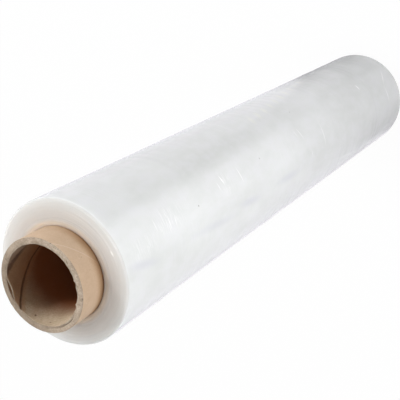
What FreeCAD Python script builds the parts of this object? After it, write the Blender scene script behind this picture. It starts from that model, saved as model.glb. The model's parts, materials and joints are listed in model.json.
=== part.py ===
import FreeCAD, Part
import math
import os

# Stretch wrap roll: film wound on a spiral-wound paperboard tube, standing on the tube's end.
# Millimetres. +Z runs up the roll's axis, and the origin is the centre of the lower end.
# +X and +Y set only where the tube's seams and its split ply lie round the axis.

# The paperboard tube
core_bore_radius = 25.0
core_wall = 4.2
core_overhang = 20.0  # how far the tube stands out of the film at each end
core_edge_break = 0.3  # bevel of the cut edges, as a saw and handling leave them

# The film, all its turns together
film_width = 500.0
film_build = 17.25  # from the first turn to the last, measured on the radius
film_edge_radius = 2.0  # the soft outer corner of each end
wind_clearance = 0.05  # radial gap between the tube and the first turn

# The ridges that bands of turns make on both ends of the film
turn_band_pitch = 1.2
turn_band_depth = 0.32  # deepest valley between two bands
turn_band_variation = 0.45  # share of that depth by which the valleys differ
turn_band_phase = 2.4  # radians from one valley's depth to the next, so none repeats soon

# The plies of the tube: paper strips wound on one right-handed helix
ply_lead = 146.0  # climb of a strip in one turn
ply_thickness = 0.45
inner_seam_gap = 1.2  # opening between the edges of the innermost strip, square to the seam
inner_seam_angle = 138.7  # where that seam meets the upper end, in degrees from +X
outer_seam_gap = 0.4
outer_seam_depth = 0.25
outer_seam_angle = -17.4

# The innermost ply stands off the next one at the upper end, where the tube was cut
split_angle = 107.5
split_half_spread = 15.5  # degrees from its middle to where it closes
split_opening = 0.95  # widest gap behind the loose ply
split_depth = 8.0  # how far down the gap reaches

# A fine crack between two plies in the same cut face
crack_from_angle = -175.0
crack_to_angle = -127.0
crack_offset = 0.75  # from the bore to the crack's inner side
crack_width = 0.3
crack_depth = 2.0

# Cutting shapes reach this far past the faces that they open
overcut = 1.0

core_radius = core_bore_radius + core_wall
core_length = film_width + 2.0 * core_overhang
film_bore_radius = core_radius + wind_clearance
film_radius = film_bore_radius + film_build
film_low = core_overhang
film_high = core_overhang + film_width

axis = FreeCAD.Vector(0, 0, 1)
origin = FreeCAD.Vector(0, 0, 0)


def at(radius, height):
    """A point of a half-section: its distance from the axis and its height."""
    return FreeCAD.Vector(radius, 0, height)


def revolved(edges):
    """The solid that a closed half-section sweeps in one turn round the axis."""
    section = Part.Face(Part.Wire(edges))
    return section.revolve(origin, axis, 360)


def straight_edges(points):
    """Straight edges from each point to the next."""
    return [Part.LineSegment(a, b).toShape() for a, b in zip(points, points[1:])]


def tube_blank():
    """The tube before its seams are cut, with all four cut edges broken."""
    bevel = core_edge_break
    points = [
        at(core_bore_radius + bevel, 0),
        at(core_radius - bevel, 0),
        at(core_radius, bevel),
        at(core_radius, core_length - bevel),
        at(core_radius - bevel, core_length),
        at(core_bore_radius + bevel, core_length),
        at(core_bore_radius, core_length - bevel),
        at(core_bore_radius, bevel),
    ]
    return revolved(straight_edges(points + points[:1]))


def seam(radius, gap, low_radius, high_radius, top_angle):
    """A helical strip as wide as a seam's gap, between two radii, running past both tube ends.

    gap is square to the seam at the given radius, so the section, which stands upright,
    is taller by the cosine of the helix's slope there.
    """
    slope = math.atan2(ply_lead, 2.0 * math.pi * radius)
    tall = gap / math.cos(slope)
    run_out = tall + overcut
    low = -run_out
    height = core_length + 2.0 * run_out
    path = Part.makeHelix(ply_lead, height, radius)
    corners = [
        at(low_radius, -tall / 2),
        at(high_radius, -tall / 2),
        at(high_radius, tall / 2),
        at(low_radius, tall / 2),
    ]
    section = Part.Wire(straight_edges(corners + corners[:1]))
    strip = Part.Wire(path).makePipeShell([section], True, True)
    strip.rotate(origin, axis, top_angle - 360.0 * (core_length - low) / ply_lead)
    strip.translate(FreeCAD.Vector(0, 0, low))
    return strip


def split_gap():
    """The crescent gap behind the loose ply, widest at the cut face and closing downwards.

    In plan it is what a small circle holds beyond the ply's back: the circle passes through
    both ends of the split and through the gap's widest point. The circle shrinks on its way
    down, until it only touches the ply's back.
    """
    ply_back = core_bore_radius + ply_thickness
    half_chord = ply_back * math.sin(math.radians(split_half_spread))
    chord_distance = ply_back * math.cos(math.radians(split_half_spread))
    rise = ply_back + split_opening - chord_distance
    open_radius = (half_chord**2 + rise**2) / (2.0 * rise)
    centre_distance = ply_back + split_opening - open_radius
    closed_radius = ply_back - centre_distance
    flare = (open_radius - closed_radius) / split_depth
    base = at(centre_distance, core_length - split_depth)
    shape = Part.makeCone(
        closed_radius, open_radius + flare * overcut, split_depth + overcut, base, axis
    )
    shape = shape.cut(Part.makeCylinder(ply_back, core_length + 2.0 * overcut))
    shape.rotate(origin, axis, split_angle)
    return shape


def crack():
    """The thin curved slit in the upper cut face."""
    near = core_bore_radius + crack_offset
    base = at(0, core_length - crack_depth)
    tall = crack_depth + overcut
    spread = crack_to_angle - crack_from_angle
    shape = Part.makeCylinder(near + crack_width, tall, base, axis, spread)
    shape = shape.cut(Part.makeCylinder(near, tall, base, axis))
    shape.rotate(origin, axis, crack_from_angle)
    return shape


def core_tube():
    """Paperboard tube with its two helical seams and the damage in its upper cut face."""
    ply_back = core_bore_radius + ply_thickness
    inner = seam(
        core_bore_radius, inner_seam_gap, core_bore_radius - overcut, ply_back, inner_seam_angle
    )
    groove_floor = core_radius - outer_seam_depth
    outer = seam(core_radius, outer_seam_gap, groove_floor, core_radius + overcut, outer_seam_angle)
    tube = tube_blank()
    for tool in (inner, outer, split_gap(), crack()):
        tube = tube.cut(tool)
    return tube


def band_outline():
    """The ridged end of the film as (radius, depth below the end) from the bore outwards.

    Each band of turns is one ridge. Its crest lies in the end plane, and the valleys beside
    it differ in depth, because the turns shift a little as they are wound.
    """
    ridged = film_radius - film_edge_radius - film_bore_radius
    count = max(1, round(ridged / turn_band_pitch))
    pitch = ridged / count
    outline = []
    for band in range(count):
        share = 0.5 + 0.5 * math.cos(turn_band_phase * band)
        valley = turn_band_depth * (1.0 - turn_band_variation * share)
        outline.append((film_bore_radius + pitch * band, valley))
        outline.append((film_bore_radius + pitch * (band + 0.5), 0.0))
    outline.append((film_bore_radius + ridged, 0.0))
    return outline


def rounded_corner(end, inward):
    """The quarter-round outer corner at one end; inward is +1 or -1, towards the middle."""
    reach = film_edge_radius * math.sqrt(0.5)
    centre_radius = film_radius - film_edge_radius
    centre_height = end + inward * film_edge_radius
    return Part.Arc(
        at(centre_radius, end),
        at(centre_radius + reach, centre_height - inward * reach),
        at(film_radius, centre_height),
    ).toShape()


def film_roll():
    """All the turns of film as one ring, with ridged ends and soft outer corners."""
    outline = band_outline()
    lower = [at(radius, film_low + depth) for radius, depth in outline]
    upper = [at(radius, film_high - depth) for radius, depth in outline]
    edges = straight_edges(lower)
    edges.append(rounded_corner(film_low, 1.0))
    edges += straight_edges(
        [at(film_radius, film_low + film_edge_radius), at(film_radius, film_high - film_edge_radius)]
    )
    edges.append(rounded_corner(film_high, -1.0))
    edges += straight_edges(upper[::-1])
    edges += straight_edges([upper[0], lower[0]])
    return revolved(edges)


os.makedirs("parts", exist_ok=True)
for name, shape in (("core_tube", core_tube()), ("film_roll", film_roll())):
    shape.exportStep("parts/" + name + ".step")
    print(name, shape.ShapeType, len(shape.Solids), shape.isValid(), round(shape.Volume / 1000.0, 1))
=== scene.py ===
import json
import math

import bpy
import numpy as np
from mathutils import Matrix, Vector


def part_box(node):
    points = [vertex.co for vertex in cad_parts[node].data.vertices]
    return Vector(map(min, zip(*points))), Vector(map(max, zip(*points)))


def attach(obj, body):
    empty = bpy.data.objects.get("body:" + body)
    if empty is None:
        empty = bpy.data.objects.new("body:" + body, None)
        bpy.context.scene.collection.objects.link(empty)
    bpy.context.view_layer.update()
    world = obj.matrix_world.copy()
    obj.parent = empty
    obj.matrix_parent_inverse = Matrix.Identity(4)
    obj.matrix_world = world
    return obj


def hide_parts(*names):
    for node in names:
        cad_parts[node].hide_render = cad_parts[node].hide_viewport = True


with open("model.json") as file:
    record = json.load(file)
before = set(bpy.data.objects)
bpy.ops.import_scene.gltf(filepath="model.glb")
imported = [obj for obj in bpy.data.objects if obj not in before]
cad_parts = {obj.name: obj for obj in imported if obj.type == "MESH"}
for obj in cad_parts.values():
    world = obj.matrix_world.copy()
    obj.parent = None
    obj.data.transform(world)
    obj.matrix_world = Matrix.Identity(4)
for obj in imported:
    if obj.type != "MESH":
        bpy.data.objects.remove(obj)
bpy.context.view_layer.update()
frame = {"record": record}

# Stretch wrap roll: a wound ring of film on a spiral-wound paperboard tube, standing on its end.
# Surfaces are worked out in millimetres and put into their meshes in metres.
MM = 0.001

# Sizes that the frame gives
BORE_RADIUS = next(m for m in frame["record"]["mounts"] if m["name"] == "core_bore")["dims"]["r_mm"]
TUBE_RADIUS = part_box("core_tube")[1].x / MM
TUBE_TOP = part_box("core_tube")[1].z / MM
FILM_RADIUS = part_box("film_roll")[1].x / MM
FILM_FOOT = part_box("film_roll")[0].z / MM
FILM_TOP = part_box("film_roll")[1].z / MM
WIND_CLEARANCE = 0.05
FILM_BORE = TUBE_RADIUS + WIND_CLEARANCE

# The film's ends and side
FILM_EDGE = 2.0
TURN_PITCH = 0.42
TURN_DEPTH = 0.05
BAND_DEPTH = 0.07
SIDE_SINK = 0.2
TAIL_ANGLE = math.radians(128.0)
TAIL_STEP = 0.08
TAIL_GAP = 0.06

# Painted glints on fine wrinkles on the film's side, as degrees round the roll and millimetres above its
# foot:
# middle of the mark, half length round the roll, half width along it, tilt in degrees, and strength
GLINT_AND_WRINKLE_MARKS = (
    (-55.0, 393.8, 5.2, 0.8, 12.0, 1.6),
    (-58.5, 400.5, 4.5, 0.6, 8.0, 0.9),
    (-62.5, 466.6, 6.0, 0.7, -6.0, 1.0),
    (-64.0, 460.2, 4.0, 0.6, -8.0, 1.0),
    (-59.0, 480.8, 6.0, 0.6, 0.0, 0.8),
    (-43.0, 112.7, 4.5, 1.5, 8.0, 1.3),
    (-68.0, 222.4, 15.0, 0.8, 0.0, 0.9),
    (-55.0, 261.0, 7.5, 0.8, 19.0, 0.9),
    (-53.0, 268.0, 6.0, 0.6, 19.0, 0.6),
    (-59.2, 369.8, 8.0, 0.7, 5.0, 1.1),
    (-79.5, 251.5, 4.5, 0.7, 6.0, 0.8),
    (-47.0, 46.5, 14.0, 1.4, -50.0, 0.9),
    (-69.0, 55.6, 12.0, 1.3, 3.0, 0.9),
)
DARK_SPECKS = (
    (-63.3, 431.5, 0.9, 0.9, 0.0, 0.7),
    (-30.6, 250.0, 0.9, 1.0, 0.0, 0.45),
    (-55.6, 335.9, 1.0, 1.0, 0.0, 0.45),
)

# Painted shade: long faint bluish streaks, one after the other along the side, at the lower edge of its
# highlight
BLUISH_SHADE_STREAKS = (
    (-86.3, 299.5, 5.0, 30.0, -2.4, 0.5),
    (-85.0, 366.0, 4.5, 24.0, -6.8, 0.45),
    (-85.6, 417.0, 4.5, 42.0, -4.6, 0.35),
    (-79.6, 501.7, 4.5, 22.0, -12.0, 0.45),
)

# A painted glint on a short blister in the film's upper end: its degrees round the roll and
# its radius, with the sizes given as in the marks above
END_GLINTS = ((-60.8, 40.7, 2.8, 0.8, 0.0, 0.65),)

# Where fine short scratches with painted sparkle crowd together on the film's side, given in the same way
SCRATCH_SPARKLE_PATCHES = (
    (-60.0, 466.0, 13.0, 26.0, 0.0, 0.9),
    (-58.0, 391.0, 12.0, 15.0, 0.0, 0.8),
    (-68.0, 498.0, 12.0, 22.0, 0.0, 0.7),
    (-62.0, 290.0, 16.0, 34.0, 0.0, 0.35),
)

# Short pale ripples in the outer turn, one beside the other along a slanting line: the first
# and the last one's middle, and how many
RIPPLE_FIRST = (3.0, 172.0)
RIPPLE_LAST = (-19.0, 302.0)
RIPPLES = 10

# The tube's plies
PLY_LEAD = 146.0
PLY = 0.45
INNER_SEAM = math.radians(138.7)
INNER_SEAM_GAP = 1.2
OUTER_SEAM = math.radians(-17.4)
OUTER_SEAM_GAP = 0.35
OUTER_SEAM_DEPTH = 0.10
EDGE_BREAK = 0.3
CUT_SINK = 0.16

# The damage in the tube's upper cut face
SPLIT_FROM = math.radians(124.0)
SPLIT_TO = math.radians(88.5)
SPLIT_BULGE = 2.3
SPLIT_DEPTH = 8.0
LOOSE_PLY = 0.8
CRACK_FROM = math.radians(-178.0)
CRACK_TO = math.radians(-118.0)
CRACK_WIDTH = 0.5
CRACK_DEPTH = 3.0
BURRS = (math.radians(-71.0), math.radians(-104.5))
BURR_REACH = 0.5

# A dark smear in the bore, beside its seam by this much and this far down from the upper end
SMEAR_FROM_SEAM = -16.5
SMEAR_DEPTH = 14.0

# Which way the bore's painted shade reaches nearer to its ends, on the side out of the light, by this share
# of the radius, and which way the cut face is more soiled and the painted shade on the tube beside the film
# is stronger
DEEP_SHADE_SIDE = (-0.25, 0.48, 0.0)
SOILED_SIDE = (-0.5, 0.87, 0.0)
SEAT_SHADE_SIDE = (-0.35, -0.94, 0.0)

# Specks in the bore's lit side, as in the marks above, with heights down from the upper end
BORE_SPECKS = (
    (157.4, 4.8, 1.0, 1.3, 0.0, 0.95),
    (-177.3, 4.8, 0.9, 1.0, 0.0, 0.7),
    (-68.0, 24.0, 1.4, 1.2, 0.0, 0.5),
)

# The camera, from outlines of the roll: where it stands and the directions of its own axes
CAMERA_PLACE = (0.21761, -0.30325, 0.89847)
CAMERA_RIGHT = (0.0, -0.87301, -0.48769)
CAMERA_UP = (0.94084, 0.16526, -0.29583)
CAMERA_BACK = (0.33886, -0.45884, 0.82136)
LENS_MM = 80.72
SENSOR_MM = 36.0

# The light: bright walls and a bright patch overhead, dim between them, so that little of it
# falls straight into the bore. The walls are brightest on the key light's side.
WALL_LIGHT = (0.65, 1.25)
BETWEEN_LIGHT = 0.18
OVERHEAD_LIGHT = 3.3

# What gloss sees on the floor: a far card and a nearer one before the roll, one beside it, the
# straight edge of a dimmer sheet, and a dim patch at the foot
CARD_DIRECTION = math.radians(-60.0)
CARD_SPREAD = math.radians(32.0)
CARD_LIGHT = 0.88
NEAR_CARD_DIRECTION = math.radians(-36.0)
NEAR_CARD_SPREAD = math.radians(56.0)
NEAR_CARD_LIGHT = 0.25
SIDE_CARD_DIRECTION = math.radians(190.0)
SIDE_CARD_SPREAD = math.radians(30.0)
SIDE_CARD_LIGHT = (0.22, 0.0)
SHEET_EDGE = (0.058, 0.081)
SHEET_SLOPE = -0.29
SHEET_LIGHT = 0.70
DIM_MIDDLE = (0.064, -0.002, 0.0)
DIM_REACH = (0.026, 0.030)
DIM_LIGHT = 0.45
FOOT_GLOSS = 0.6
FLOOR_GLOSS = 0.88
GLOSS_TONE = (0.985, 0.97, 1.03, 1.0)

# The lamps: a key behind and to the right, a narrow beam into the bore, and a low fill in front
# of the roll's upper half, which doesn't reach into the bore. Directions are azimuth and rise.
KEY_DIRECTION = (math.radians(50.0), math.radians(41.4))
KEY_REACH = 1.62
KEY_WATTS = 14.3
BEAM_DIRECTION = (math.radians(34.6), math.radians(41.4))
BEAM_REACH = 0.45
BEAM_WATTS = 0.0034
FILL_PLACE = (0.0, -0.45, 0.46)
FILL_WATTS = 0.93


# Shapes

def smooth(low, high, x):
    """0 below low, 1 above high, and an S-shaped cubic between them."""
    t = np.clip((x - low) / (high - low), 0.0, 1.0)
    return t * t * (3.0 - 2.0 * t)


def hump(x, middle, width):
    """A bell of height 1 round middle, with width as its standard deviation."""
    return np.exp(-0.5 * ((x - middle) / width) ** 2)


def turned(angle, middle):
    """The angle from middle, brought between minus and plus half a turn."""
    return (angle - middle + math.pi) % (2.0 * math.pi) - math.pi


def waves(angle, along, seed, count, turns, lengths):
    """The sum of count cosines of random phase, scaled to about 1.

    Each has a whole number of periods round the axis, within turns, so that it closes on
    itself, and a wave length along the other direction within lengths, in millimetres.
    """
    rng = np.random.default_rng(seed)
    total = 0.0
    for _ in range(count):
        around = rng.integers(turns[0], turns[1] + 1) * rng.choice((-1, 1))
        length = rng.uniform(*lengths)
        phase = rng.uniform(0.0, 2.0 * math.pi)
        total = total + np.cos(around * angle + 2.0 * math.pi * along / length + phase)
    return total / math.sqrt(count / 2.0)


def ring_mesh(name, radius, angle, height, strip_materials, materials, values=None):
    """A closed ring-shaped mesh from a grid of points in cylinder coordinates.

    radius, angle and height are arrays of rows by columns. Each row is joined to the next
    and the last to the first, and so are the columns. strip_materials gives, for the strip
    that starts at each row, the index of its material. values holds named float arrays that
    become point attributes.
    """
    rows, columns = radius.shape
    points = np.stack((radius * np.cos(angle), radius * np.sin(angle), height), axis=-1) * MM
    index = np.arange(rows * columns).reshape(rows, columns)
    across = np.roll(index, -1, axis=1)
    quads = np.stack(
        (index, across, np.roll(across, -1, axis=0), np.roll(index, -1, axis=0)), axis=-1
    ).reshape(-1, 4)
    corners = points.reshape(-1, 3)[quads]
    flow = np.cross(corners[:, 2] - corners[:, 0], corners[:, 3] - corners[:, 1])
    if np.einsum("ij,ij->", corners.mean(axis=1), flow) < 0.0:
        quads = quads[:, ::-1]
    mesh = bpy.data.meshes.new(name)
    mesh.vertices.add(rows * columns)
    mesh.vertices.foreach_set("co", points.astype(np.float32).ravel())
    mesh.loops.add(quads.size)
    mesh.loops.foreach_set("vertex_index", quads.astype(np.int32).ravel())
    mesh.polygons.add(len(quads))
    mesh.polygons.foreach_set("loop_start", np.arange(0, quads.size, 4, dtype=np.int32))
    mesh.polygons.foreach_set("material_index", np.repeat(strip_materials, columns).astype(np.int32))
    mesh.polygons.foreach_set("use_smooth", np.ones(len(quads), dtype=bool))
    for title, value in (values or {}).items():
        attribute = mesh.attributes.new(title, "FLOAT", "POINT")
        attribute.data.foreach_set("value", value.astype(np.float32).ravel())
    mesh.update(calc_edges=True)
    for material in materials:
        mesh.materials.append(material)
    piece = bpy.data.objects.new(name, mesh)
    bpy.context.scene.collection.objects.link(piece)
    return piece


def film_meridian():
    """Rows of the film's closed half-section: lower end, corner, side, corner, upper end, bore.

    Returns each row's radius, height, outward direction as (radial, axial), the share of the
    ends' ridges and of the side's bands that it takes, and its strip's material.
    """
    edge_radius = FILM_RADIUS - FILM_EDGE
    out = np.linspace(FILM_BORE, edge_radius, 128)
    bend = np.radians(np.linspace(-90.0, 0.0, 9))[1:]
    up = np.linspace(FILM_FOOT + FILM_EDGE, FILM_TOP - FILM_EDGE, 206)[1:]
    end = np.zeros(len(out))
    lower = np.stack((out, end + FILM_FOOT, end, end - 1.0, end + 1.0, end), axis=1)
    corner = np.stack(
        (
            edge_radius + FILM_EDGE * np.cos(bend),
            FILM_FOOT + FILM_EDGE * (1.0 + np.sin(bend)),
            np.cos(bend),
            np.sin(bend),
            1.0 - smooth(0.0, 0.6, np.cos(bend)),
            smooth(0.4, 1.0, np.cos(bend)),
        ),
        axis=1,
    )
    flat = np.zeros(len(up))
    side = np.stack((flat + FILM_RADIUS, up, flat + 1.0, flat, flat, flat + 1.0), axis=1)
    mirror = np.array([1.0, -1.0, 1.0, -1.0, 1.0, 1.0])
    lift = np.array([0.0, FILM_FOOT + FILM_TOP, 0.0, 0.0, 0.0, 0.0])
    upper_corner = corner[:-1][::-1] * mirror + lift
    upper = lower[::-1] * mirror + lift
    bore = np.array([[FILM_BORE, (FILM_FOOT + FILM_TOP) / 2.0, -1.0, 0.0, 0.0, 0.0]])
    rows = np.concatenate((lower, corner, side, upper_corner, upper, bore))
    ends = len(lower) + len(corner) // 2
    strips = np.ones(len(rows), dtype=int)
    strips[ends: len(rows) - 1 - ends] = 0
    return rows, strips


def film_columns():
    """Angles of the film's columns, from one side of the tail's edge round to its other side."""
    gap = TAIL_GAP / FILM_RADIUS
    return TAIL_ANGLE + np.linspace(gap / 2.0, 2.0 * math.pi - gap / 2.0, 190)


def film_roll(materials):
    """The wound film: a ring whose ends carry ridges of turns and whose side carries bands.

    Ends: a fine ridge for each few turns, |sin| of the radius, on top of slow uneven steps.
    Side: uneven bands round the roll, seven to thirty millimetres apart, whose height swells
    and fades round it, with a slow out-of-round. The outer turn is a spiral that drops by
    the tail's step over one turn, so its edge shows as a thin line along the roll.
    """
    rows, strips = film_meridian()
    columns = film_columns()
    radius, height, out, lift, end_share, side_share = (
        np.repeat(rows[:, k: k + 1], len(columns), axis=1) for k in range(6)
    )
    angle = np.repeat(columns[None, :], len(rows), axis=0)
    fine = TURN_DEPTH * (np.abs(np.sin(math.pi * radius / TURN_PITCH)) - 1.0)
    upper = height > (FILM_FOOT + FILM_TOP) / 2.0
    slow = np.where(
        upper,
        waves(angle, radius, 11, 9, (0, 0), (1.1, 4.5)),
        waves(angle, radius, 12, 9, (0, 0), (1.1, 4.5)),
    )
    uneven = waves(angle, radius, 13, 8, (1, 4), (3.0, 9.0))
    blister_and_glint = hump(radius, 40.0, 0.9) * hump(turned(angle, math.radians(-59.0)), 0.0, 0.035) * upper
    ends = fine + BAND_DEPTH * (slow / 2.0 - 1.0) + 0.03 * uneven + 0.3 * blister_and_glint
    swell = 0.55 + 0.45 * waves(angle, height, 21, 6, (1, 3), (90.0, 260.0)) / 1.5
    bands = 0.030 * swell * waves(angle, height, 22, 7, (0, 1), (6.5, 12.0))
    hills = 0.045 * waves(angle, height, 23, 6, (0, 1), (22.0, 70.0))
    pulls = 0.014 * waves(angle, height, 24, 10, (3, 9), (14.0, 50.0))
    oval = 0.05 * waves(angle, height, 25, 4, (2, 3), (300.0, 900.0))
    share = (columns - columns[0]) / (columns[-1] - columns[0])
    spiral = -TAIL_STEP * share[None, :]
    side = bands + hills + pulls + oval - SIDE_SINK + spiral
    move = ends * end_share + side * side_share
    near_tail = hump(turned(angle, TAIL_ANGLE), 0.0, math.radians(9.0))
    wander = (0.9 * np.sin(height / 71.0) + 0.35 * np.sin(height / 23.0 + 1.0)) / FILM_RADIUS
    return ring_mesh(
        "wound_film",
        radius + move * out,
        angle + wander * near_tail * side_share,
        height + move * lift,
        strips,
        materials,
    )


def tube_columns():
    """Angles of the tube's columns where they meet its upper end.

    They are even, closer across the split ply, and each seam edge has a close pair of its
    own, so that the seam's wall stands steep.
    """
    edges = []
    for middle, gap, radius in (
        (INNER_SEAM, INNER_SEAM_GAP, BORE_RADIUS),
        (OUTER_SEAM, OUTER_SEAM_GAP, TUBE_RADIUS),
    ):
        slope = math.atan2(PLY_LEAD, 2.0 * math.pi * radius)
        half = gap / 2.0 / math.sin(slope) / radius
        step = 0.05 / radius
        edges += [middle - half - step, middle - half, middle, middle + half, middle + half + step]
    edges = np.array(edges) % (2.0 * math.pi)
    even = np.linspace(0.0, 2.0 * math.pi, 264, endpoint=False)
    close = np.linspace(SPLIT_TO - 0.05, SPLIT_FROM + 0.05, 56)
    others = np.concatenate((even[(even < close[0]) | (even > close[-1])], close))
    apart = np.abs(turned(others[:, None], edges[None, :])).min(axis=1) > 0.006
    return np.sort(np.concatenate((others[apart], edges)))


def seam_depth(angle, height, seam, gap, radius, depth):
    """Depth of a helical seam at each point, and the distance from the seam in millimetres.

    The seam climbs by PLY_LEAD in one turn and meets the upper end at the angle seam.
    """
    follow = seam + 2.0 * math.pi * (height - TUBE_TOP) / PLY_LEAD
    slope = math.atan2(PLY_LEAD, 2.0 * math.pi * radius)
    distance = turned(angle, follow) * radius * math.sin(slope)
    return np.where(np.abs(distance) < gap / 2.0 + 0.01, depth, 0.0), distance


def split_share(angle):
    """Height of the loose ply's bulge from 0 to 1: steep at its torn side, then easing off."""
    along = turned(angle, SPLIT_FROM) / (SPLIT_TO - SPLIT_FROM)
    torn = smooth(0.0, 0.06, along) * (0.45 + 0.55 * smooth(0.0, 0.45, along))
    return torn * (1.0 - smooth(0.5, 1.0, along))


def split_closing(depth):
    """Share of the bulge that is left at a depth below the cut face."""
    return np.clip(1.0 - depth / SPLIT_DEPTH, 0.0, 1.0) ** 1.4


def tube_outside(angle):
    """Outer wall from foot to top: the seam's hairline groove, and slightly proud ply edges."""
    foot = np.concatenate(([0.0, EDGE_BREAK], np.linspace(1.0, FILM_FOOT + 1.0, 18)))
    hidden = np.linspace(FILM_FOOT + 1.0, FILM_TOP - 2.0, 40)[1:]
    top = np.concatenate((np.linspace(FILM_TOP - 2.0, TUBE_TOP - 1.0, 20)[1:], [TUBE_TOP - EDGE_BREAK]))
    level = np.concatenate((foot, hidden, top))[:, None]
    height = level + 0.0 * angle
    around = angle + 2.0 * math.pi * (height - TUBE_TOP) / PLY_LEAD
    depth, distance = seam_depth(
        around, height, OUTER_SEAM, OUTER_SEAM_GAP, TUBE_RADIUS, OUTER_SEAM_DEPTH
    )
    proud = 0.03 * np.exp(-np.abs(distance) / 1.2)
    broken = EDGE_BREAK * ((level == 0.0) + 0.0)
    radius = TUBE_RADIUS - 0.03 - depth + proud - broken
    return radius, around, height, distance


def tube_cut_top(angle):
    """Upper cut face from the outer edge to the bore's edge, dipping into its crack and split.

    Away from the damage the dips close to hairlines between the plies. The last value is the
    first row of the gap behind the loose ply, and the row after its last one.
    """
    split = split_share(angle)
    along = turned(angle, CRACK_FROM) / (CRACK_TO - CRACK_FROM)
    cracked = smooth(0.0, 0.15, along) * (1.0 - smooth(0.8, 1.0, along))
    ply_back = BORE_RADIUS + PLY
    bulge = SPLIT_BULGE * split
    loose_back = ply_back - bulge + (LOOSE_PLY - PLY) * smooth(0.0, 0.3, split)
    gap_out = ply_back + 0.03 + 0.0 * angle
    crack_in = gap_out + 0.35 + 0.25 * waves(angle, 0.0 * angle, 31, 5, (2, 7), (1.0, 2.0)) / 2.0
    crack_out = crack_in + 0.04 + CRACK_WIDTH * cracked
    crack_foot = 0.08 + CRACK_DEPTH * cracked
    split_foot = 0.08 + SPLIT_DEPTH * 0.6 * smooth(0.0, 0.2, split)
    back_at_foot = ply_back - bulge * split_closing(split_foot)
    outer_edge = TUBE_RADIUS - EDGE_BREAK
    radii = [TUBE_RADIUS - 0.09 + 0.0 * angle, outer_edge + 0.0 * angle]
    drops = [0.09 + 0.0 * angle, 0.0 * angle]
    for share in (0.2, 0.4, 0.6, 0.8):
        radii.append(outer_edge + share * (crack_out + 0.15 - outer_edge))
        drops.append(0.0 * angle)
    radii += [crack_out, crack_out - 0.02, crack_in + 0.02, crack_in]
    drops += [0.02 + 0.0 * angle, crack_foot, crack_foot, 0.02 + 0.0 * angle]
    radii += [gap_out, gap_out - 0.01, np.minimum(back_at_foot, gap_out - 0.02), loose_back]
    drops += [0.02 + 0.0 * angle, split_foot, split_foot, 0.03 + 0.0 * angle]
    radii += [(loose_back + BORE_RADIUS - bulge) / 2.0]
    drops += [0.0 * angle]
    radius = np.stack(radii)
    drop = np.stack(drops)
    around = np.repeat(angle[None, :], len(radii), axis=0)
    rough = 0.045 * waves(around, radius, 32, 26, (5, 60), (0.8, 5.0))
    height = TUBE_TOP - CUT_SINK - drop + rough * (drop < 0.2)
    gap_rows = (len(radii) - 5, len(radii) - 1)
    return radius, around, height, gap_rows


def tube_bore(angle):
    """Bore wall from the upper edge down: the open seam, its curled edges and the loose ply."""
    top = TUBE_TOP - np.concatenate(([EDGE_BREAK], np.linspace(0.9, 24.0, 30)))
    middle = np.linspace(TUBE_TOP - 24.0, 24.0, 120)[1:]
    foot = np.concatenate((np.linspace(24.0, 1.0, 16)[1:], [EDGE_BREAK]))
    height = np.concatenate((top, middle, foot))[:, None] + 0.0 * angle
    around = angle + 2.0 * math.pi * (height - TUBE_TOP) / PLY_LEAD
    depth, distance = seam_depth(around, height, INNER_SEAM, INNER_SEAM_GAP, BORE_RADIUS, PLY)
    curl = 0.10 * np.exp(-np.abs(distance) / 1.6)
    below = TUBE_TOP - height
    loose = SPLIT_BULGE * split_share(around) * split_closing(below)
    burr = sum(hump(turned(around, middle), 0.0, 0.02) for middle in BURRS)
    burr = BURR_REACH * burr * (1.0 - smooth(0.3, 1.2, below))
    ragged = 0.4 + hump(turned(around, math.radians(-90.0)), 0.0, 0.35)
    wavy = 0.16 * waves(around, height, 33, 8, (14, 40), (3.0, 9.0))
    wavy = wavy * (1.0 - smooth(0.8, 3.6, below)) * ragged
    uneven = 0.04 * waves(around, height, 34, 8, (2, 7), (18.0, 60.0))
    radius = BORE_RADIUS + depth - curl - loose - burr - wavy + uneven
    return radius, around, height, distance


def tube_cut_foot(angle):
    """Lower cut face from the bore's edge to the outer edge, square and plain."""
    share = np.linspace(0.0, 1.0, 7)[:, None] + 0.0 * angle
    low = BORE_RADIUS + EDGE_BREAK
    radius = low + share * (TUBE_RADIUS - 2.0 * EDGE_BREAK - BORE_RADIUS)
    around = angle - 2.0 * math.pi * TUBE_TOP / PLY_LEAD + 0.0 * share
    return radius, around, 0.0 * share


def core_tube(materials):
    """The paperboard tube as one closed sheet: outer wall, upper cut, bore wall, lower cut."""
    angle = tube_columns()
    outside = tube_outside(angle)
    cut_top = tube_cut_top(angle)
    bore = tube_bore(angle)
    cut_foot = tube_cut_foot(angle)
    walls = (outside, cut_top, bore, cut_foot)
    radius, around, height = (np.concatenate([wall[k] for wall in walls]) for k in range(3))
    counts = [len(wall[0]) for wall in walls]
    kinds = (0, 1, 2, 1)
    strips = np.repeat(kinds, counts)
    strips[counts[0] - 1] = 1
    gap = slice(counts[0] + cut_top[3][0], counts[0] + cut_top[3][1])
    strips[gap.start: gap.stop - 1] = 2
    distance = np.full(radius.shape, 99.0)
    distance[: counts[0]] = outside[3]
    # the gap behind the loose ply takes the seam's dark tone: glue and painted shade
    distance[gap] = 0.0
    distance[counts[0] + counts[1]: sum(counts[:3])] = bore[3]
    return ring_mesh(
        "paper_tube", radius, around, height, strips, materials, {"seam_distance": distance}
    )


# Materials

def new_group(name, inputs, outputs):
    """An empty shader node group with float, vector or colour sockets made from name: kind."""
    group = bpy.data.node_groups.new(name, "ShaderNodeTree")
    kinds = {"float": "NodeSocketFloat", "vector": "NodeSocketVector", "colour": "NodeSocketColor"}
    for title, kind in inputs.items():
        group.interface.new_socket(title, in_out="INPUT", socket_type=kinds[kind])
    for title, kind in outputs.items():
        group.interface.new_socket(title, in_out="OUTPUT", socket_type=kinds[kind])
    return group, group.nodes.new("NodeGroupInput"), group.nodes.new("NodeGroupOutput")


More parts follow.
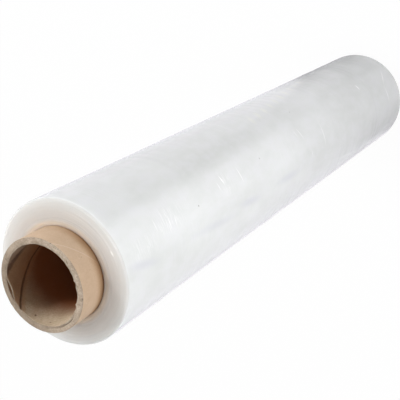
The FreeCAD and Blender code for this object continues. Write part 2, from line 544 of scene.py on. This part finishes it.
def put(tree, kind, settings=None, inputs=None):
    """Adds a node, sets its properties, and fills its inputs with values or links."""
    node = tree.nodes.new("ShaderNode" + kind)
    for title, value in (settings or {}).items():
        setattr(node, title, value)
    for key, value in (inputs or {}).items():
        if isinstance(value, bpy.types.NodeSocket):
            tree.links.new(value, node.inputs[key])
        else:
            node.inputs[key].default_value = value
    return node


def math_node(tree, operation, a, b=0.0, c=0.0, clamp=False):
    """One arithmetic step on up to three values or links."""
    settings = {"operation": operation, "use_clamp": clamp}
    return put(tree, "Math", settings, {0: a, 1: b, 2: c}).outputs[0]


def mix_colour(tree, share, first, second, blend="MIX"):
    """first where share is 0, second where it is 1."""
    settings = {"data_type": "RGBA", "blend_type": blend}
    return put(tree, "Mix", settings, {0: share, 6: first, 7: second}).outputs[2]


def spread(tree, value, low, high, to_low=0.0, to_high=1.0):
    """value's range from low to high, eased onto another range."""
    settings = {"interpolation_type": "SMOOTHSTEP"}
    inputs = {0: value, 1: low, 2: high, 3: to_low, 4: to_high}
    return put(tree, "MapRange", settings, inputs).outputs[0]


def noise(tree, vector, scale, detail=2.0, rough=0.5):
    """Fractal noise from 0 to 1 at a place, with scale in cells a metre."""
    inputs = {"Vector": vector, "Scale": scale, "Detail": detail, "Roughness": rough}
    return put(tree, "TexNoise", None, inputs).outputs[0]


def colour(red, green, blue):
    """A colour given as it looks on a screen, 0 to 255, as linear light with full alpha."""
    linear = []
    for level in (red, green, blue):
        share = level / 255.0
        linear.append(share / 12.92 if share <= 0.04045 else ((share + 0.055) / 1.055) ** 2.4)
    return (*linear, 1.0)


def stretched(tree, vector, scale):
    """The vector with each component multiplied by its own factor."""
    inputs = {0: vector, 1: scale}
    return put(tree, "VectorMath", {"operation": "MULTIPLY"}, inputs).outputs[0]


def paper_group():
    """Recycled board: cloudy fibre tone, pale and dark flecks, and a fibrous height."""
    group, inside, outside = new_group(
        "paper_fibres",
        {"Place": "vector", "Fibre Size": "float", "Flecks": "float"},
        {"Tone": "float", "Dark Fleck": "float", "Pale Fleck": "float", "Height": "float"},
    )
    place = inside.outputs["Place"]
    size = inside.outputs["Fibre Size"]
    near = put(group, "VectorMath", {"operation": "SCALE"}, {0: place, "Scale": size}).outputs[0]
    cloud = noise(group, near, 90.0, 4.0, 0.6)
    fibre_a = noise(group, stretched(group, near, (1.0, 1.0, 0.3)), 1500.0, 3.0, 0.65)
    fibre_b = noise(group, stretched(group, near, (0.4, 0.4, 1.0)), 1900.0, 2.0, 0.6)
    fibres = math_node(group, "ADD", fibre_a, fibre_b)
    tone = math_node(group, "MULTIPLY_ADD", cloud, 0.8, math_node(group, "MULTIPLY", fibres, 0.6))
    fleck = noise(group, near, 620.0, 1.0, 0.5)
    limit = math_node(group, "MULTIPLY_ADD", inside.outputs["Flecks"], -0.1, 0.76)
    dark = spread(group, math_node(group, "SUBTRACT", fleck, limit), 0.0, 0.05)
    pale_at = noise(group, stretched(group, near, (1.0, 1.0, 1.6)), 780.0, 1.0, 0.5)
    pale = spread(group, math_node(group, "SUBTRACT", pale_at, limit), 0.0, 0.06)
    group.links.new(math_node(group, "SUBTRACT", tone, 1.0), outside.inputs["Tone"])
    group.links.new(dark, outside.inputs["Dark Fleck"])
    group.links.new(pale, outside.inputs["Pale Fleck"])
    group.links.new(math_node(group, "MULTIPLY", fibres, 0.5), outside.inputs["Height"])
    return group


def film_group():
    """Wound film: streaks that run round the roll in clusters, and a milky mottle."""
    group, inside, outside = new_group(
        "film_marks",
        {"Place": "vector", "Streak Pitch": "float"},
        {"Streak": "float", "Mottle": "float"},
    )
    place = inside.outputs["Place"]
    pitch = inside.outputs["Streak Pitch"]
    along = math_node(group, "DIVIDE", 1.0, pitch)
    stretch = put(group, "CombineXYZ", None, {0: 42.0, 1: 42.0, 2: along}).outputs[0]
    fine = noise(group, stretched(group, place, stretch), 1.0, 2.0, 0.55)
    cluster = noise(group, stretched(group, place, (14.0, 14.0, 34.0)), 1.0, 2.0, 0.5)
    streak = math_node(group, "MULTIPLY", fine, spread(group, cluster, 0.4, 0.65, 0.35, 1.0))
    mottle = noise(group, stretched(group, place, (22.0, 22.0, 11.0)), 1.0, 3.0, 0.5)
    group.links.new(streak, outside.inputs["Streak"])
    group.links.new(mottle, outside.inputs["Mottle"])
    return group


def oval_group():
    """A soft oval on a round wall: its share is 1 in its middle and 0 at its rim.

    Angle and Height place its middle on a wall of the given radius. Tilt turns it from
    lying straight round the wall.
    """
    numbers = ("Angle", "Height", "Radius", "Half Length", "Half Width", "Tilt")
    inputs = {"Place": "vector"}
    inputs.update({title: "float" for title in numbers})
    group, inside, outside = new_group("soft_oval", inputs, {"Share": "float"})
    take = inside.outputs
    axes = put(group, "SeparateXYZ", None, {0: take["Place"]}).outputs
    angle = math_node(group, "ARCTAN2", axes[1], axes[0])
    turn = math_node(group, "SUBTRACT", angle, take["Angle"])
    around = math_node(group, "MULTIPLY", turn, take["Radius"])
    rise = math_node(group, "SUBTRACT", axes[2], take["Height"])
    flat = put(group, "CombineXYZ", None, {0: around, 1: rise}).outputs[0]
    settings = {"rotation_type": "Z_AXIS", "invert": True}
    level = put(group, "VectorRotate", settings, {"Vector": flat, "Angle": take["Tilt"]}).outputs[0]
    size = put(group, "CombineXYZ", None, {0: take["Half Length"], 1: take["Half Width"], 2: 1.0})
    inputs = {0: level, 1: size.outputs[0]}
    scaled = put(group, "VectorMath", {"operation": "DIVIDE"}, inputs).outputs[0]
    reach = put(group, "VectorMath", {"operation": "LENGTH"}, {0: scaled}).outputs["Value"]
    group.links.new(spread(group, reach, 0.0, 1.0, 1.0, 0.0), outside.inputs["Share"])
    return group


def oval_marks(tree, oval, place, radius, listed):
    """The strongest share of several soft ovals at each place, from a list of marks."""
    strongest = 0.0
    for angle, height, half_length, half_width, tilt, strength in listed:
        inputs = {
            "Place": place,
            "Angle": math.radians(angle),
            "Height": height * MM,
            "Radius": radius * MM,
            "Half Length": half_length * MM,
            "Half Width": half_width * MM,
            "Tilt": math.radians(tilt),
        }
        share = use_group(tree, oval, inputs).outputs["Share"]
        strongest = math_node(tree, "MAXIMUM", math_node(tree, "MULTIPLY", share, strength), strongest)
    return strongest


def new_material(name):
    """A node material with its Principled surface and the object's own coordinates."""
    material = bpy.data.materials.new(name)
    material.use_nodes = True
    tree = material.node_tree
    surface = tree.nodes["Principled BSDF"]
    place = tree.nodes.new("ShaderNodeTexCoord").outputs["Object"]
    return material, tree, surface, place


def use_group(tree, group, inputs):
    """Places a shader node group with its own values."""
    node = tree.nodes.new("ShaderNodeGroup")
    node.node_tree = group
    for title, value in inputs.items():
        if isinstance(value, bpy.types.NodeSocket):
            tree.links.new(value, node.inputs[title])
        else:
            node.inputs[title].default_value = value
    return node


def bumped(tree, surface, height, strength, distance):
    """Feeds a height into the surface's normal."""
    inputs = {"Height": height, "Strength": strength, "Distance": distance}
    tree.links.new(put(tree, "Bump", None, inputs).outputs[0], surface.inputs["Normal"])


def board_material(name, group, base, shade, pale, fibre, flecks, relief, rough):
    """Paperboard: base tone shaded by its fibres, with darker and paler flecks."""
    material, tree, surface, place = new_material(name)
    inputs = {"Place": place, "Fibre Size": fibre, "Flecks": flecks}
    paper = use_group(tree, group, inputs)
    level = spread(tree, paper.outputs["Tone"], -0.35, 0.35)
    tint = mix_colour(tree, level, shade, base)
    tint = mix_colour(tree, math_node(tree, "MULTIPLY", paper.outputs["Pale Fleck"], 0.5), tint, pale)
    dark = colour(70, 52, 38)
    tint = mix_colour(tree, math_node(tree, "MULTIPLY", paper.outputs["Dark Fleck"], 0.5), tint, dark)
    surface.inputs["Specular IOR Level"].default_value = 0.25
    roughness = spread(tree, paper.outputs["Height"], 0.3, 0.7, rough, rough + 0.1)
    tree.links.new(roughness, surface.inputs["Roughness"])
    bumped(tree, surface, paper.outputs["Height"], 0.5, relief)
    return material, tree, surface, tint, place


def seam_value(tree):
    """Distance across the nearest ply seam, in millimetres, from the tube's own attribute."""
    return put(tree, "Attribute", {"attribute_name": "seam_distance"}).outputs["Fac"]


def height_value(tree, place):
    """Height above the foot in metres."""
    return put(tree, "SeparateXYZ", None, {0: place}).outputs[2]


def kraft_wall(group):
    """The smooth kraft face of the outermost ply, with a painted highlight on its seam, painted shade beside
    the film.
    """
    material, tree, surface, tint, place = board_material(
        "kraft_wall", group, colour(204, 178, 152), colour(192, 165, 138), colour(220, 202, 182),
        1.0, 0.15, 0.00006, 0.62,
    )
    seam = math_node(tree, "ABSOLUTE", seam_value(tree))
    # painted highlight: a pale line along the seam for the lit edge of its gap
    seam_highlight = spread(tree, seam, 0.1, 0.5, 0.4, 0.0)
    tint = mix_colour(tree, seam_highlight, tint, colour(226, 208, 188))
    height = height_value(tree, place)
    above = math_node(tree, "SUBTRACT", height, FILM_TOP * MM)
    under = math_node(tree, "SUBTRACT", FILM_FOOT * MM, height)
    off_film = math_node(tree, "MAXIMUM", above, under)
    # painted shade: a browner band and a dark line beside the film, stronger on the side away from the key
    # light
    across = put(tree, "VectorMath", {"operation": "DOT_PRODUCT"}, {0: place, 1: SEAT_SHADE_SIDE})
    one_side = spread(tree, across.outputs["Value"], -0.016, 0.010, 0.1, 1.0)
    seat_shade = math_node(tree, "MULTIPLY", spread(tree, off_film, 0.001, 0.008, 0.65, 0.0), one_side)
    tint = mix_colour(tree, seat_shade, tint, colour(148, 106, 60))
    line = math_node(tree, "MULTIPLY", spread(tree, off_film, 0.0002, 0.0016, 0.55, 0.0), one_side)
    tint = mix_colour(tree, line, tint, colour(112, 72, 42))
    tree.links.new(tint, surface.inputs["Base Color"])
    return material


def cut_board(group):
    """The sawn end of the tube: greyer, rough, with soft darker patches and a few dark tufts."""
    material, tree, surface, tint, place = board_material(
        "cut_board", group, colour(194, 178, 160), colour(138, 122, 106), colour(222, 208, 194),
        1.3, 0.4, 0.0003, 0.85,
    )
    patch = spread(tree, noise(tree, place, 330.0, 3.0, 0.65), 0.48, 0.68, 0.0, 0.6)
    tint = mix_colour(tree, patch, tint, colour(138, 124, 108))
    tufts = spread(tree, noise(tree, place, 300.0, 1.0, 0.5), 0.70, 0.76, 0.0, 0.7)
    tint = mix_colour(tree, tufts, tint, colour(104, 90, 76))
    across = put(tree, "VectorMath", {"operation": "DOT_PRODUCT"}, {0: place, 1: SOILED_SIDE})
    soiled = spread(tree, across.outputs["Value"], -0.008, 0.024, 0.08, 0.62)
    tint = mix_colour(tree, soiled, tint, colour(122, 108, 92))
    tree.links.new(tint, surface.inputs["Base Color"])
    return material


def bore_wall(group, oval):
    """The innermost ply: board with painted shade, deeper and redder further inside and along one side of its
    seam; its open seam darker from glue and painted shade.
    """
    material, tree, surface, tint, place = board_material(
        "bore_wall", group, colour(208, 190, 166), colour(168, 148, 122), colour(218, 202, 180),
        1.0, 0.15, 0.0001, 0.75,
    )
    height = height_value(tree, place)
    from_top = math_node(tree, "SUBTRACT", TUBE_TOP * MM, height)
    from_end = math_node(tree, "MINIMUM", from_top, height)
    # painted shade deep in the bore: it reaches nearer the rim on the side out of the light
    deep_shade_offset = put(tree, "VectorMath", {"operation": "DOT_PRODUCT"}, {0: place, 1: DEEP_SHADE_SIDE})
    from_end = math_node(tree, "ADD", from_end, deep_shade_offset.outputs["Value"])
    deep_shade = spread(tree, from_end, 0.010, 0.042, 0.0, 0.94)
    tint = mix_colour(tree, deep_shade, tint, colour(118, 62, 28))
    distance = seam_value(tree)
    # painted shade: a browner strip along one side of the seam, out of the light
    beside = spread(tree, distance, 0.0, 5.0, 0.62, 0.0)
    beside = math_node(tree, "MULTIPLY", spread(tree, distance, -26.0, -17.0), beside)
    tint = mix_colour(tree, beside, tint, colour(154, 108, 74))
    # the open seam and the gap behind the loose ply: darker from glue and painted shade
    seam_glue_and_shade = spread(tree, math_node(tree, "ABSOLUTE", distance), 0.4, 1.2, 0.65, 0.0)
    tint = mix_colour(tree, seam_glue_and_shade, tint, colour(64, 36, 20))
    off_smear = math_node(tree, "SUBTRACT", distance, SMEAR_FROM_SEAM)
    near_top = spread(tree, from_top, SMEAR_DEPTH * MM * 0.6, SMEAR_DEPTH * MM, 1.0, 0.0)
    greyer = math_node(tree, "MULTIPLY", spread(tree, off_smear, -1.5, 0.0, 0.6, 0.0), near_top)
    tint = mix_colour(tree, greyer, tint, colour(164, 142, 128))
    frayed = math_node(tree, "MULTIPLY_ADD", noise(tree, place, 700.0, 3.0, 0.6), 3.0, -1.5)
    off_middle = math_node(tree, "ABSOLUTE", math_node(tree, "ADD", off_smear, frayed))
    smear = math_node(tree, "MULTIPLY", spread(tree, off_middle, 1.0, 3.4, 0.65, 0.0), near_top)
    tint = mix_colour(tree, smear, tint, colour(74, 52, 46))
    listed = [(angle, TUBE_TOP - down, *rest) for angle, down, *rest in BORE_SPECKS]
    specks = oval_marks(tree, oval, place, BORE_RADIUS, listed)
    tint = mix_colour(tree, specks, tint, colour(70, 40, 36))
    tree.links.new(tint, surface.inputs["Base Color"])
    surface.inputs["Specular IOR Level"].default_value = 0.05
    return material


def ripple_marks():
    """The pale ripples, listed as the other marks are."""
    middles = np.linspace(RIPPLE_FIRST, RIPPLE_LAST, RIPPLES)
    return [(angle, height, 8.0, 4.0, -28.0, 0.5) for angle, height in middles.tolist()]


def film_side(group, oval):
    """The outer turns: clear gloss over milky depth, with streaks round the roll, painted glints and painted
    shade.
    """
    material, tree, surface, place = new_material("film_side")
    marks = use_group(tree, group, {"Place": place, "Streak Pitch": 0.0017})
    level = spread(tree, marks.outputs["Mottle"], 0.3, 0.7)
    tint = mix_colour(tree, level, colour(218, 220, 218), colour(228, 230, 229))
    blotch = noise(tree, stretched(tree, place, (110.0, 110.0, 60.0)), 1.0, 3.0, 0.6)
    tint = mix_colour(tree, spread(tree, blotch, 0.42, 0.68, 0.0, 0.3), tint, colour(232, 232, 236))
    tint = mix_colour(tree, spread(tree, blotch, 0.30, 0.48, 0.14, 0.0), tint, colour(208, 213, 210))
    ripples = oval_marks(tree, oval, place, FILM_RADIUS, ripple_marks())
    tint = mix_colour(tree, ripples, tint, colour(237, 238, 227))
    # painted glints: wrinkle marks and crowded scratches whitened where they catch the light, and raised in
    # the bump
    pale = oval_marks(tree, oval, place, FILM_RADIUS, GLINT_AND_WRINKLE_MARKS)
    scratch_sparkle = noise(tree, stretched(tree, place, (130.0, 130.0, 1400.0)), 1.0, 2.0, 0.6)
    crowd = oval_marks(tree, oval, place, FILM_RADIUS, SCRATCH_SPARKLE_PATCHES)
    scratch_sparkle = math_node(tree, "MULTIPLY", spread(tree, scratch_sparkle, 0.50, 0.66), crowd)
    white = math_node(tree, "MAXIMUM", pale, math_node(tree, "MULTIPLY", scratch_sparkle, 0.6))
    tint = mix_colour(tree, math_node(tree, "MULTIPLY", white, 0.8, clamp=True), tint, colour(255, 255, 255))
    # painted shade: bluish streaks at the lower edge of the highlight
    bluish_shade = oval_marks(tree, oval, place, FILM_RADIUS, BLUISH_SHADE_STREAKS)
    tint = mix_colour(tree, bluish_shade, tint, colour(206, 207, 216))
    dark = oval_marks(tree, oval, place, FILM_RADIUS, DARK_SPECKS)
    tint = mix_colour(tree, dark, tint, colour(96, 94, 88))
    tree.links.new(tint, surface.inputs["Base Color"])
    tree.links.new(spread(tree, marks.outputs["Streak"], 0.2, 0.6, 0.12, 0.22), surface.inputs["Roughness"])
    surface.inputs["IOR"].default_value = 1.5
    surface.inputs["Coat Weight"].default_value = 0.55
    surface.inputs["Coat Roughness"].default_value = 0.08
    surface.inputs["Subsurface Weight"].default_value = 0.4
    surface.inputs["Subsurface Radius"].default_value = (0.010, 0.010, 0.010)
    surface.inputs["Subsurface Scale"].default_value = 1.0
    height = math_node(tree, "MULTIPLY_ADD", pale, 0.5, marks.outputs["Streak"])
    height = math_node(tree, "MULTIPLY_ADD", scratch_sparkle, 0.2, height)
    bumped(tree, surface, height, 0.6, 0.0002)
    return material


def film_end(oval):
    """The edges of all the turns: milky, whiter outside; near the bore a painted tint for the tube showing
    through, and a painted glint.
    """
    material, tree, surface, place = new_material("film_end")
    flat = stretched(tree, place, (1.0, 1.0, 0.0))
    radius = put(tree, "VectorMath", {"operation": "LENGTH"}, {0: flat}).outputs["Value"]
    drift = noise(tree, place, 60.0, 2.0, 0.5)
    ring = math_node(tree, "MULTIPLY_ADD", drift, 0.0006, radius)
    rings = {"noise_dimensions": "1D"}
    lines = put(tree, "TexNoise", rings, {"W": ring, "Scale": 2600.0, "Detail": 3.0}).outputs[0]
    broad = put(tree, "TexNoise", rings, {"W": ring, "Scale": 420.0, "Detail": 2.0}).outputs[0]
    # painted tint: the tube's brown seen through the film near the bore, kept light there against the shade
    # beside the tube
    tint = mix_colour(
        tree, spread(tree, radius, 0.0290, 0.034), colour(248, 224, 198), colour(206, 201, 196)
    )
    tint = mix_colour(tree, spread(tree, radius, 0.034, 0.0465), tint, colour(210, 210, 208))
    inner_edge = spread(tree, radius, 0.0295, 0.0302, 0.8, 0.0)
    tint = mix_colour(tree, inner_edge, tint, colour(232, 206, 186))
    shade = math_node(tree, "MULTIPLY_ADD", broad, 0.08, math_node(tree, "MULTIPLY", lines, 0.05))
    tint = mix_colour(tree, math_node(tree, "SUBTRACT", shade, 0.03, clamp=True), tint, colour(150, 144, 140))
    axes = put(tree, "SeparateXYZ", None, {0: place}).outputs
    polar = put(tree, "CombineXYZ", None, {0: axes[0], 1: axes[1], 2: radius}).outputs[0]
    # painted glint on the blister
    blister_and_glint = oval_marks(tree, oval, polar, END_GLINTS[0][1], END_GLINTS)
    blister_and_glint = math_node(tree, "MULTIPLY", blister_and_glint, spread(tree, axes[2], 0.4, 0.5))
    tint = mix_colour(tree, blister_and_glint, tint, colour(255, 254, 250))
    tree.links.new(tint, surface.inputs["Base Color"])
    surface.inputs["IOR"].default_value = 1.5
    surface.inputs["Roughness"].default_value = 0.42
    surface.inputs["Coat Weight"].default_value = 0.4
    surface.inputs["Coat Roughness"].default_value = 0.2
    surface.inputs["Subsurface Weight"].default_value = 0.8
    surface.inputs["Subsurface Radius"].default_value = (0.018, 0.017, 0.016)
    surface.inputs["Subsurface Scale"].default_value = 1.0
    height = math_node(tree, "MULTIPLY_ADD", lines, 0.6, math_node(tree, "MULTIPLY", broad, 0.4))
    bumped(tree, surface, height, 0.35, 0.00012)
    return material


# Stage

def floor_card(tree, direction, middle, half_spread):
    """The share of a card that lies on the floor in one direction from the roll, soft-edged."""
    turn = math_node(tree, "SUBTRACT", direction, middle)
    off_middle = math_node(tree, "ABSOLUTE", math_node(tree, "WRAP", turn, math.pi, -math.pi))
    return spread(tree, off_middle, half_spread * 0.6, half_spread * 1.3, 1.0, 0.0)


def white_floor():
    """A wide floor that shows white to the camera and to gloss, and keeps a faint shadow.

    Gloss sees bright cards in front of the roll, a sheet's edge, and a dim patch beside the
    foot. Inside the tube's foot the floor stays plain, so that the bore is dark at its far end.
    """
    material = bpy.data.materials.new("floor_white")
    material.use_nodes = True
    tree = material.node_tree
    tree.nodes.clear()
    place = tree.nodes.new("ShaderNodeTexCoord").outputs["Object"]
    reach = put(tree, "VectorMath", {"operation": "LENGTH"}, {0: place}).outputs["Value"]
    open_floor = spread(tree, reach, BORE_RADIUS * MM, TUBE_RADIUS * MM)
    ray = tree.nodes.new("ShaderNodeLightPath")
    straight = math_node(tree, "MULTIPLY", ray.outputs["Is Camera Ray"], 0.96)
    gloss = math_node(tree, "MAXIMUM", ray.outputs["Is Glossy Ray"], ray.outputs["Is Transmission Ray"])
    seen = math_node(tree, "MULTIPLY", math_node(tree, "MAXIMUM", straight, gloss), open_floor)
    plain = put(tree, "BsdfDiffuse", None, {"Color": (0.8, 0.8, 0.8, 1.0)})
    axes = put(tree, "SeparateXYZ", None, {0: place}).outputs
    direction = math_node(tree, "ARCTAN2", axes[1], axes[0])
    card = floor_card(tree, direction, CARD_DIRECTION, CARD_SPREAD)
    card = math_node(tree, "MULTIPLY", card, spread(tree, reach, 0.03, 0.40, 0.0, CARD_LIGHT))
    side_card = floor_card(tree, direction, SIDE_CARD_DIRECTION, SIDE_CARD_SPREAD)
    side_card = math_node(tree, "MULTIPLY", side_card, spread(tree, reach, 0.05, 0.16, *SIDE_CARD_LIGHT))
    near_card = floor_card(tree, direction, NEAR_CARD_DIRECTION, NEAR_CARD_SPREAD)
    near_light = spread(tree, reach, 0.1, 0.4, NEAR_CARD_LIGHT, 0.4 * NEAR_CARD_LIGHT)
    side_card = math_node(tree, "MULTIPLY_ADD", near_card, near_light, side_card)
    past_edge = math_node(tree, "MULTIPLY_ADD", axes[0], -SHEET_SLOPE, axes[1])
    edge_at = SHEET_EDGE[1] - SHEET_SLOPE * SHEET_EDGE[0]
    off_sheet = spread(tree, past_edge, edge_at - 0.002, edge_at + 0.002)
    off_sheet = math_node(tree, "MAXIMUM", off_sheet, spread(tree, axes[0], -0.04, 0.06, 1.0, 0.0))
    sheet = spread(tree, off_sheet, 0.0, 1.0, SHEET_LIGHT, 1.0)
    shifted = put(tree, "VectorMath", {"operation": "SUBTRACT"}, {0: place, 1: DIM_MIDDLE})
    oval = stretched(tree, shifted.outputs[0], (1.0 / DIM_REACH[0], 1.0 / DIM_REACH[1], 0.0))
    off_dim = put(tree, "VectorMath", {"operation": "LENGTH"}, {0: oval}).outputs["Value"]
    open_gloss = spread(tree, reach, 0.07, 0.15, FOOT_GLOSS, FLOOR_GLOSS)
    open_gloss = math_node(tree, "MULTIPLY", open_gloss, sheet)
    floor_gloss = math_node(tree, "MULTIPLY", open_gloss, spread(tree, off_dim, 0.7, 1.3, DIM_LIGHT, 1.0))
    gloss_light = math_node(tree, "ADD", floor_gloss, math_node(tree, "ADD", card, side_card))
    shown = ray.outputs["Is Camera Ray"]
    light = put(tree, "Mix", {"data_type": "FLOAT"}, {0: shown, 2: gloss_light, 3: 1.0}).outputs[0]
    tone = mix_colour(tree, shown, GLOSS_TONE, (1.0, 1.0, 1.0, 1.0))
    bright = put(tree, "Emission", None, {"Color": tone, "Strength": light})
    both = put(tree, "MixShader", None, {0: seen, 1: plain.outputs[0], 2: bright.outputs[0]})
    end = tree.nodes.new("ShaderNodeOutputMaterial")
    tree.links.new(both.outputs[0], end.inputs["Surface"])
    mesh = bpy.data.meshes.new("floor")
    reach_m = 6.0
    corners = [(-reach_m, -reach_m, 0), (reach_m, -reach_m, 0), (reach_m, reach_m, 0), (-reach_m, reach_m, 0)]
    mesh.from_pydata(corners, [], [(0, 1, 2, 3)])
    mesh.materials.append(material)
    floor = bpy.data.objects.new("floor", mesh)
    floor.location.z = -0.0002
    bpy.context.scene.collection.objects.link(floor)


def surroundings():
    """Even white surroundings: soft light on the roll, and pure white behind it."""
    world = bpy.data.worlds.new("studio")
    world.use_nodes = True
    tree = world.node_tree
    ray = tree.nodes.new("ShaderNodeLightPath")
    back = tree.nodes["Background"]
    back.inputs["Color"].default_value = (1.0, 1.0, 1.0, 1.0)
    direction = tree.nodes.new("ShaderNodeTexCoord").outputs["Generated"]
    rise = put(tree, "SeparateXYZ", None, {0: direction}).outputs[2]
    toward = (math.cos(KEY_DIRECTION[0]), math.sin(KEY_DIRECTION[0]), 0.0)
    facing = put(tree, "VectorMath", {"operation": "DOT_PRODUCT"}, {0: direction, 1: toward})
    side = spread(tree, facing.outputs["Value"], -0.4, 0.9, *WALL_LIGHT)
    walls = math_node(tree, "MULTIPLY", spread(tree, rise, 0.08, 0.45, 1.0, 0.0), side)
    overhead = spread(tree, rise, 0.87, 0.96, 0.0, OVERHEAD_LIGHT)
    light = math_node(tree, "ADD", math_node(tree, "ADD", walls, BETWEEN_LIGHT), overhead)
    shown = ray.outputs["Is Camera Ray"]
    strength = put(tree, "Mix", {"data_type": "FLOAT"}, {0: shown, 2: light, 3: 1.0}).outputs[0]
    tree.links.new(strength, back.inputs["Strength"])
    bpy.context.scene.world = world


def toward_light(target, direction, reach):
    """A place at a distance from target, in a direction given as azimuth and rise."""
    around, up = direction
    way = np.array((math.cos(up) * math.cos(around), math.cos(up) * math.sin(around), math.sin(up)))
    return tuple(np.array(target) + reach * way)


def softbox(name, place, target, width, height, watts, shape="RECTANGLE", fan=180.0):
    """A soft lamp at place, turned to face target. Its light fans out by so many degrees.

    It doesn't show in the film's gloss, which sees only the floor and the surroundings.
    """
    lamp = bpy.data.lights.new(name, "AREA")
    lamp.shape = shape
    lamp.size = width
    lamp.size_y = height
    lamp.energy = watts
    lamp.spread = math.radians(fan)
    holder = bpy.data.objects.new(name, lamp)
    holder.visible_camera = False
    holder.visible_glossy = False
    away =(np.array(place) - np.array(target)) / np.linalg.norm(np.array(place) - np.array(target))
    side = np.cross((0.0, 0.0, 1.0), away)
    side = side / np.linalg.norm(side)
    over = np.cross(away, side)
    turn = Matrix((side, over, away)).transposed().to_4x4()
    turn.translation = place
    holder.matrix_world = turn
    bpy.context.scene.collection.objects.link(holder)


def camera():
    """The camera, turned as the photograph was taken: the roll lies across the picture."""
    data = bpy.data.cameras.new("camera")
    data.sensor_fit = "HORIZONTAL"
    data.sensor_width = SENSOR_MM
    data.lens = LENS_MM
    data.clip_start = 0.01
    data.clip_end = 20.0
    holder = bpy.data.objects.new("camera", data)
    turn = Matrix((CAMERA_RIGHT, CAMERA_UP, CAMERA_BACK)).transposed().to_4x4()
    turn.translation = CAMERA_PLACE
    holder.matrix_world = turn
    bpy.context.scene.collection.objects.link(holder)
    bpy.context.scene.camera = holder


paper = paper_group()
oval = oval_group()
tube = core_tube([kraft_wall(paper), cut_board(paper), bore_wall(paper, oval)])
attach(tube, "root")
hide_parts("core_tube")

film = film_roll([film_side(film_group(), oval), film_end(oval)])
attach(film, "root")
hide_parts("film_roll")

white_floor()
surroundings()
mouth = (0.0, 0.0, TUBE_TOP * MM)
key_place = toward_light(mouth, KEY_DIRECTION, KEY_REACH)
beam_place = toward_light(mouth, BEAM_DIRECTION, BEAM_REACH)
beam_height = 0.042 * math.sin(BEAM_DIRECTION[1])
softbox("key", key_place, mouth, 1.0, 0.7, KEY_WATTS)
softbox("beam", beam_place, mouth, 0.042, beam_height, BEAM_WATTS, "ELLIPSE", 8.0)
softbox("fill", FILL_PLACE, (0.0, 0.0, FILL_PLACE[2]), 0.4, 0.08, FILL_WATTS)
camera()

scene = bpy.context.scene
scene.view_settings.view_transform = "Standard"
